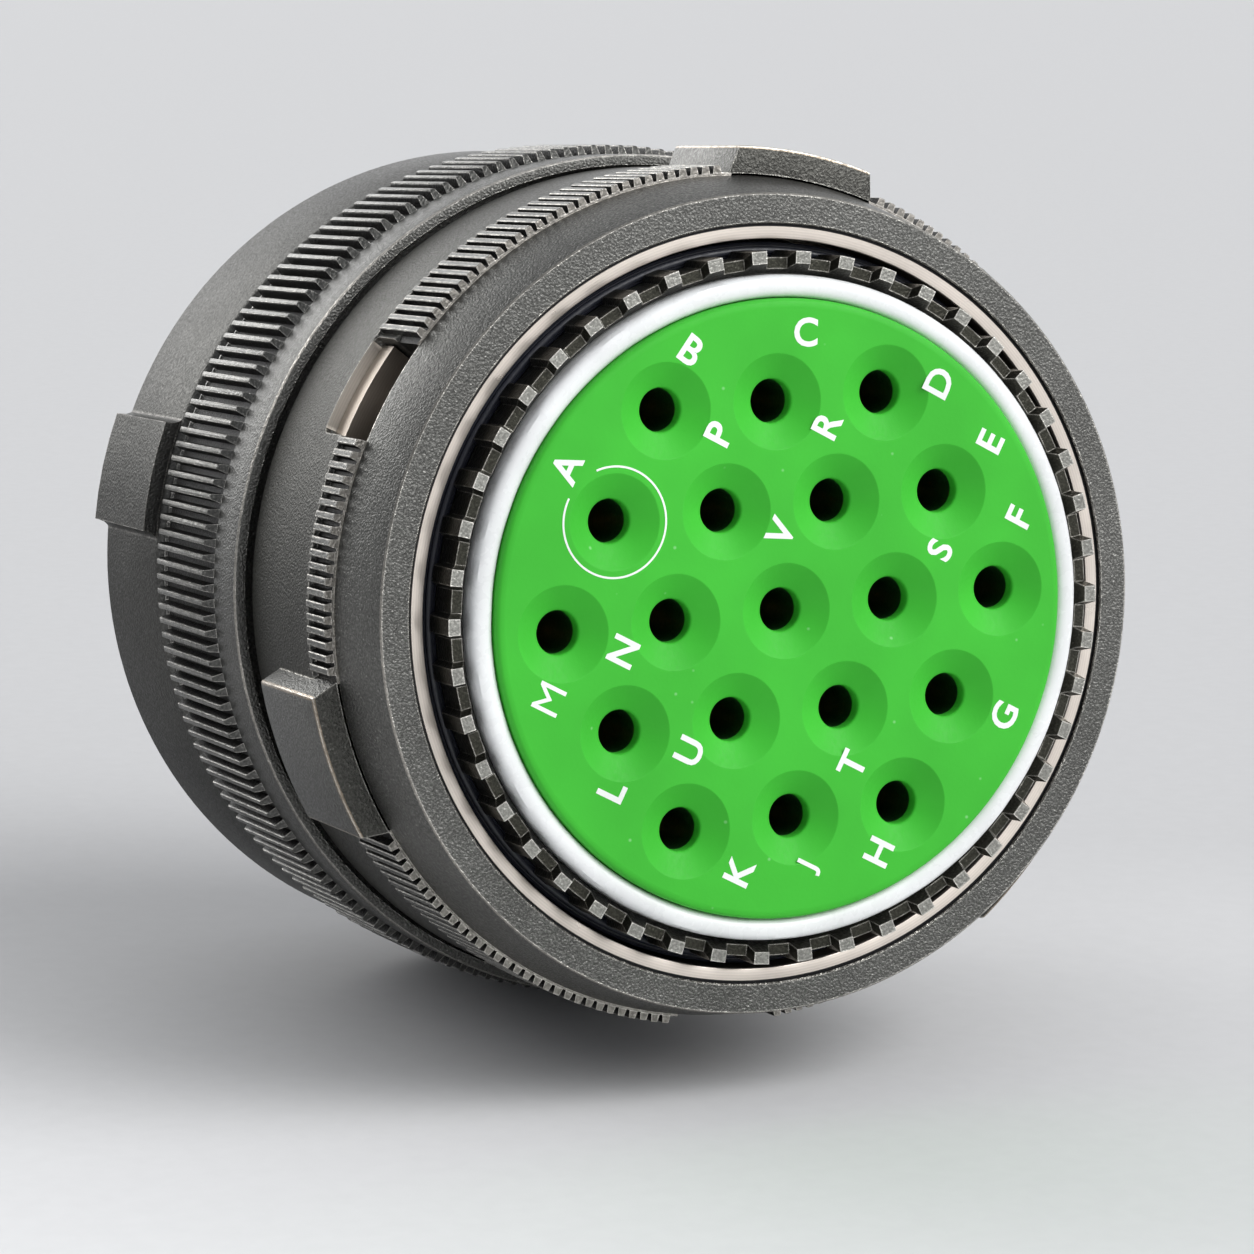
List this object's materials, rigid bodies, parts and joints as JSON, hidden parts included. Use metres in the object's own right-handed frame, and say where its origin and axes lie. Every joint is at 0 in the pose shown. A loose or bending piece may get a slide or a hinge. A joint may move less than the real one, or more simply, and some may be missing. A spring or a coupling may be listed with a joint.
{
  "type": "circular connector plug",
  "caption": "Circular cable plug with bayonet coupling ring, green resilient face over socket contacts, knurled rear nut and a hollow rear body with a threaded boss.",
  "frame": {"origin": "centre of the end face of the rear boss, on which the plug stands", "axes": "+Z along the plug's axis towards the mating face, +Y to the top of the contact letters"},
  "size_m": [0.0413, 0.0414, 0.0433],
  "materials": {
    "grey_finish": "matte dark grey blasted conversion coating",
    "olive_plate": "satin dark olive plating",
    "steel": "bright turned steel",
    "green_rubber": "satin moulded green",
    "white_plastic": "satin white",
    "insert_plastic": "moulded dark",
    "grommet_rubber": "moulded green",
    "black_rubber": "smooth blue-black",
    "contact_metal": "plated and smooth"
  },
  "bodies": {
    "shell": {"plug_shell": "olive_plate", "toothed_ring": "olive_plate", "insert_sleeve": "white_plastic", "front_insert": "green_rubber", "socket_insert": "insert_plastic", "rear_grommet": "grommet_rubber", "joint_gasket": "black_rubber", "wave_spring": "steel", "shell_snap_ring": "steel", "contact_a": "contact_metal", "contact_b": "contact_metal", "contact_c": "contact_metal", "contact_d": "contact_metal", "contact_e": "contact_metal", "contact_f": "contact_metal", "contact_g": "contact_metal", "contact_h": "contact_metal", "contact_j": "contact_metal", "contact_k": "contact_metal", "contact_l": "contact_metal", "contact_m": "contact_metal", "contact_n": "contact_metal", "contact_p": "contact_metal", "contact_r": "contact_metal", "contact_s": "contact_metal", "contact_t": "contact_metal", "contact_u": "contact_metal", "contact_v": "contact_metal"},
    "spring_washer": {"spring_washer": "steel"},
    "coupling_ring": {"coupling_ring": "grey_finish", "ramp_sleeve": "steel"},
    "rear_body": {"rear_body": "grey_finish", "grommet_follower": "insert_plastic", "body_seal": "black_rubber", "nut_washer": "steel"},
    "rear_nut": {"rear_nut": "grey_finish", "nut_wire_ring": "steel"}
  },
  "joints": [
    {"name": "ring_pull", "type": "slide", "parent": "shell", "child": "spring_washer", "axis": [0, 0, 1], "range_m": [0, 0.0006], "stiffness_N_per_m": 15000, "springref_m": -0.001, "deforming": ["wave_spring"]},
    {"name": "ring_turn", "type": "hinge", "parent": "spring_washer", "child": "coupling_ring", "pos_m": [0, 0, 0.0335], "axis": [0, 0, 1], "continuous": true},
    {"name": "rear_body_travel", "type": "slide", "parent": "shell", "child": "rear_body", "axis": [0, 0, -1], "range_m": [0, 0.00501]},
    {"name": "rear_nut_turn", "type": "hinge", "parent": "rear_body", "child": "rear_nut", "pos_m": [0, 0, 0.0214], "axis": [0, 0, -1], "range_deg": [0, 1800]}
  ],
  "couplings": [
    {"joint": "rear_body_travel", "follows": "rear_nut_turn", "m_per_rad": 0.00015915}
  ]
}
